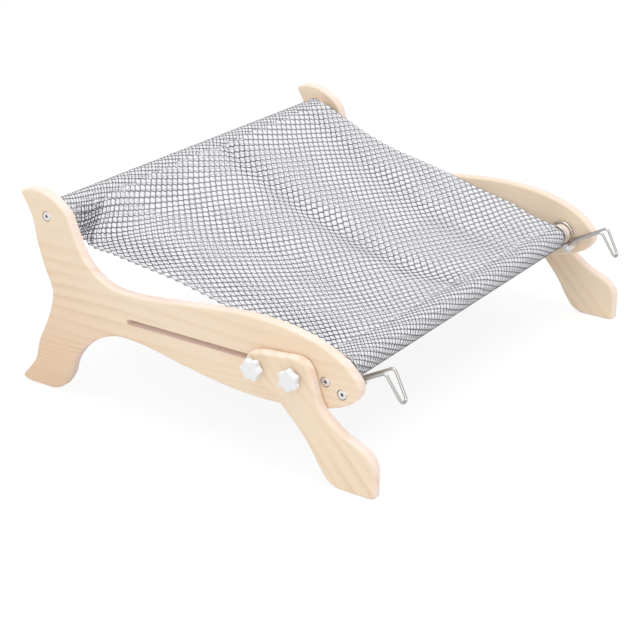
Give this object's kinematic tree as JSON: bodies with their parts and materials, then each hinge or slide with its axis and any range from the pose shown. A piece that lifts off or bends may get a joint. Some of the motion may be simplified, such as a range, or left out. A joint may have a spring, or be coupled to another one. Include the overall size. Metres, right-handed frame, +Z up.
{
  "type": "cat window perch",
  "caption": "Low wooden cat perch with a mesh cloth sling between shaped side panels, sliding props clamped by star knobs, and wire hooks that catch a window sill",
  "frame": {"origin": "middle of the footprint, at floor height", "axes": "X across the perch along the rails, -Y towards the window, Z up"},
  "size_m": [0.5286, 0.4456, 0.211],
  "materials": {
    "pine": "pale sanded pine with fine grain and rounded edges",
    "mesh_cloth": "open mesh cloth, white cells in a grey net",
    "bright_steel": "bright plated steel",
    "insert_brass": "plain turned brass",
    "white_plastic": "smooth white moulded plastic"
  },
  "bodies": {
    "frame": {"side_panel_left": "pine", "side_panel_right": "pine", "front_rail": "pine", "rear_rail": "pine", "sling": "mesh_cloth", "rail_bolt_front_left": "bright_steel", "rail_insert_front_left": "insert_brass", "rail_bolt_rear_left": "bright_steel", "rail_insert_rear_left": "insert_brass", "stop_bolt_left": "bright_steel", "stop_tube_left": "bright_steel", "stop_nut_left": "bright_steel", "rail_bolt_front_right": "bright_steel", "rail_insert_front_right": "insert_brass", "rail_bolt_rear_right": "bright_steel", "rail_insert_rear_right": "insert_brass", "stop_bolt_right": "bright_steel", "stop_tube_right": "bright_steel", "stop_nut_right": "bright_steel"},
    "leg_carrier_left": {"leg_left": "pine", "clamp_bolt_front_left": "bright_steel", "clamp_bolt_rear_left": "bright_steel", "clamp_washer_front_left": "bright_steel", "clamp_washer_rear_left": "bright_steel"},
    "leg_carrier_right": {"leg_right": "pine", "clamp_bolt_front_right": "bright_steel", "clamp_bolt_rear_right": "bright_steel", "clamp_washer_front_right": "bright_steel", "clamp_washer_rear_right": "bright_steel"},
    "knob_turner_front_left": {"knob_front_left": "white_plastic", "knob_insert_front_left": "insert_brass"},
    "knob_turner_rear_left": {"knob_rear_left": "white_plastic", "knob_insert_rear_left": "insert_brass"},
    "knob_turner_front_right": {"knob_front_right": "white_plastic", "knob_insert_front_right": "insert_brass"},
    "knob_turner_rear_right": {"knob_rear_right": "white_plastic", "knob_insert_rear_right": "insert_brass"},
    "hook_swinger_left": {"hook_left": "bright_steel"},
    "hook_swinger_right": {"hook_right": "bright_steel"}
  },
  "joints": [
    {"name": "leg_left_slide", "type": "slide", "parent": "frame", "child": "leg_carrier_left", "axis": [0, 1, 0], "range_m": [0, 0.158]},
    {"name": "leg_right_slide", "type": "slide", "parent": "frame", "child": "leg_carrier_right", "axis": [0, 1, 0], "range_m": [0, 0.158]},
    {"name": "knob_front_left_turn", "type": "hinge", "parent": "leg_carrier_left", "child": "knob_turner_front_left", "pos_m": [-0.2539, -0.12711, 0.09896], "axis": [-1, 0, 0], "continuous": true},
    {"name": "knob_rear_left_turn", "type": "hinge", "parent": "leg_carrier_left", "child": "knob_turner_rear_left", "pos_m": [-0.2539, -0.08611, 0.09896], "axis": [-1, 0, 0], "continuous": true},
    {"name": "knob_front_right_turn", "type": "hinge", "parent": "leg_carrier_right", "child": "knob_turner_front_right", "pos_m": [0.2539, -0.12711, 0.09896], "axis": [1, 0, 0], "continuous": true},
    {"name": "knob_rear_right_turn", "type": "hinge", "parent": "leg_carrier_right", "child": "knob_turner_rear_right", "pos_m": [0.2539, -0.08611, 0.09896], "axis": [1, 0, 0], "continuous": true},
    {"name": "hook_left_swing", "type": "hinge", "parent": "frame", "child": "hook_swinger_left", "pos_m": [-0.2175, -0.15211, 0.09601], "axis": [-1, 0, 0], "range_deg": [0, 100]},
    {"name": "hook_right_swing", "type": "hinge", "parent": "frame", "child": "hook_swinger_right", "pos_m": [0.2175, -0.15211, 0.09601], "axis": [-1, 0, 0], "range_deg": [0, 100]}
  ]
}
